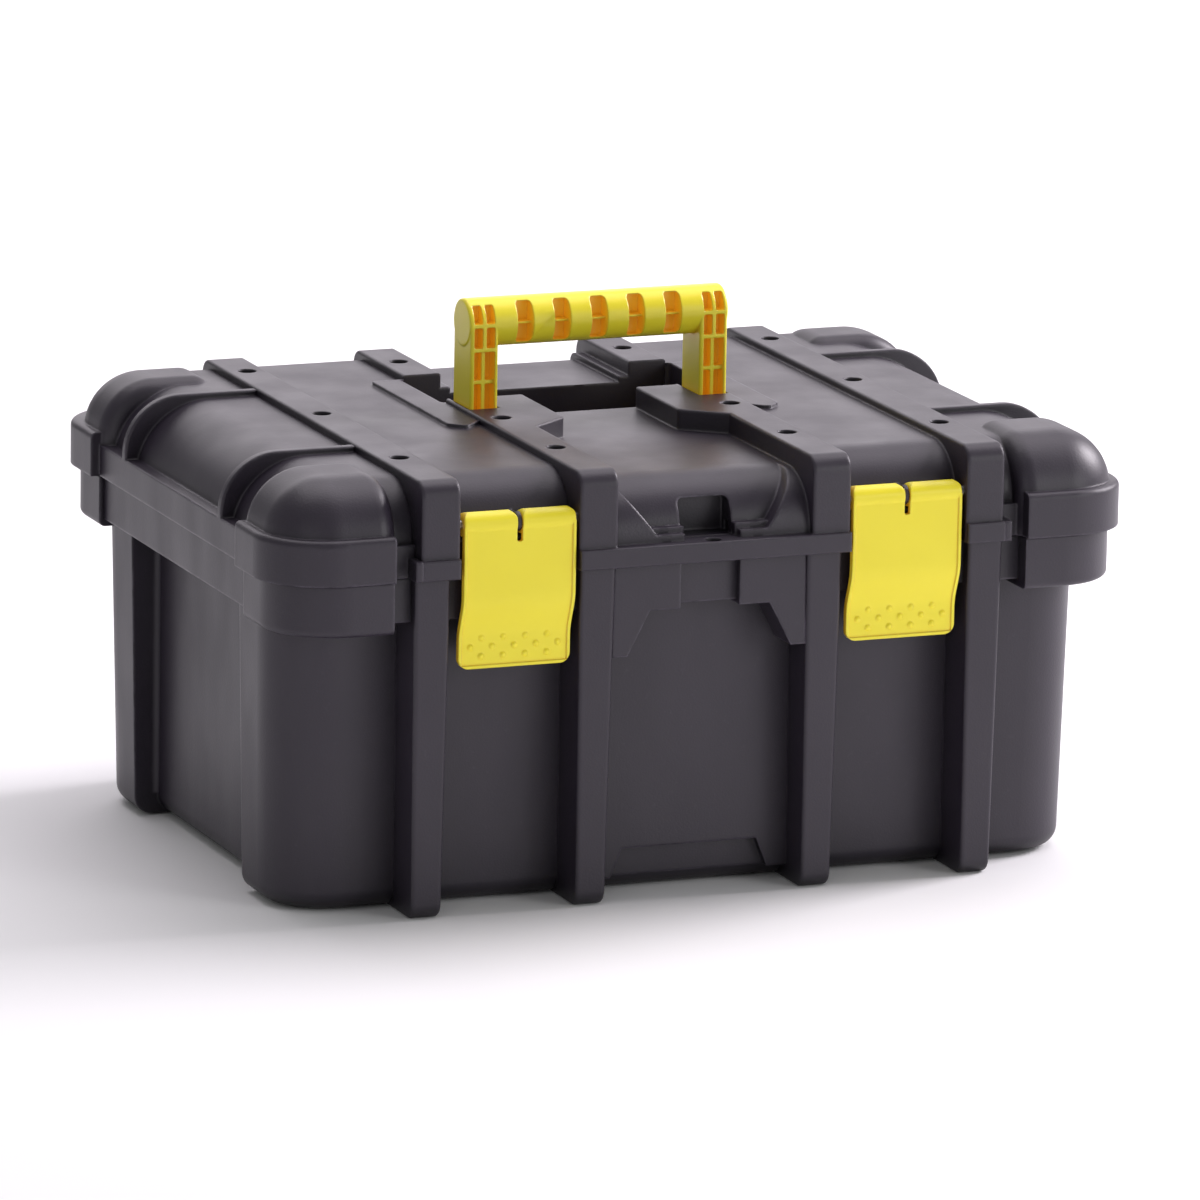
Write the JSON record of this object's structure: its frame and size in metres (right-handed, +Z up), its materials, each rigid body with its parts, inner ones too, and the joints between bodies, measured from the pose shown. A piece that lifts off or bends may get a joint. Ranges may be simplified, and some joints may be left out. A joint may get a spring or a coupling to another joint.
{
  "type": "toolbox",
  "caption": "Ribbed plastic toolbox with a hinged lid, fold-down bail handle, front latches and a lift-out divided tray.",
  "frame": {"origin": "on the floor plane, under the middle of the whole object with the hinge knuckles", "axes": "+Z up; +X along the box's length; -Y is the side with the latches"},
  "size_m": [0.432, 0.33, 0.2597],
  "materials": {
    "dark_plastic": "fine satin moulded polypropylene",
    "yellow_plastic": "smooth semi-gloss moulded plastic",
    "tray_plastic": "satin moulded polypropylene",
    "steel": "drawn wire, zinc plated"
  },
  "bodies": {
    "base": {"base_end_left": "dark_plastic", "base_bay_left": "dark_plastic", "base_centre": "dark_plastic", "base_bay_right": "dark_plastic", "base_end_right": "dark_plastic", "leg_outer_front_left": "dark_plastic", "leg_outer_front_right": "dark_plastic", "leg_outer_back_left": "dark_plastic", "leg_outer_back_right": "dark_plastic", "leg_inner_front_left": "dark_plastic", "leg_inner_front_right": "dark_plastic", "leg_inner_back_left": "dark_plastic", "leg_inner_back_right": "dark_plastic", "base_corner_front_left": "dark_plastic", "base_corner_front_right": "dark_plastic", "base_corner_back_left": "dark_plastic", "base_corner_back_right": "dark_plastic", "padlock_yoke_left": "dark_plastic", "padlock_yoke_right": "dark_plastic", "hinge_pin_left": "steel", "hinge_pin_right": "steel"},
    "lid": {"lid_end_left": "dark_plastic", "lid_bay_left": "dark_plastic", "lid_front_left": "dark_plastic", "lid_front_middle": "dark_plastic", "lid_front_right": "dark_plastic", "lid_recess": "dark_plastic", "lid_back": "dark_plastic", "lid_bay_right": "dark_plastic", "lid_end_right": "dark_plastic", "handle_pin_left": "steel", "handle_pin_right": "steel", "latch_pin_left": "steel", "latch_pin_right": "steel"},
    "handle": {"handle_bail": "yellow_plastic"},
    "latch_l": {"latch_left": "yellow_plastic"},
    "latch_r": {"latch_right": "yellow_plastic"},
    "tray": {"tray_body": "tray_plastic", "tray_handle": "tray_plastic", "tray_divider_front_left": "tray_plastic", "tray_divider_front_right": "tray_plastic", "tray_divider_back_middle": "tray_plastic"}
  },
  "joints": [
    {"name": "lid_hinge", "type": "hinge", "parent": "base", "child": "lid", "pos_m": [0, 0.159, 0.1645], "axis": [-1, 0, 0], "range_deg": [0, 105]},
    {"name": "handle_fold", "type": "hinge", "parent": "lid", "child": "handle", "pos_m": [0, -0.0025, 0.194], "axis": [-1, 0, 0], "range_deg": [0, 88]},
    {"name": "latch_left_swing", "type": "hinge", "parent": "lid", "child": "latch_l", "pos_m": [-0.0968, -0.1563, 0.1864], "axis": [-1, 0, 0], "range_deg": [0, 100]},
    {"name": "latch_right_swing", "type": "hinge", "parent": "lid", "child": "latch_r", "pos_m": [0.0968, -0.1563, 0.1864], "axis": [-1, 0, 0], "range_deg": [0, 100]},
    {"name": "tray_lift", "type": "slide", "parent": "base", "child": "tray", "axis": [0, 0, 1], "range_m": [0, 0.15]}
  ],
  "couplings": [
    {"joint": "tray_lift", "follows": "lid_hinge", "m_per_rad": 0.08}
  ]
}
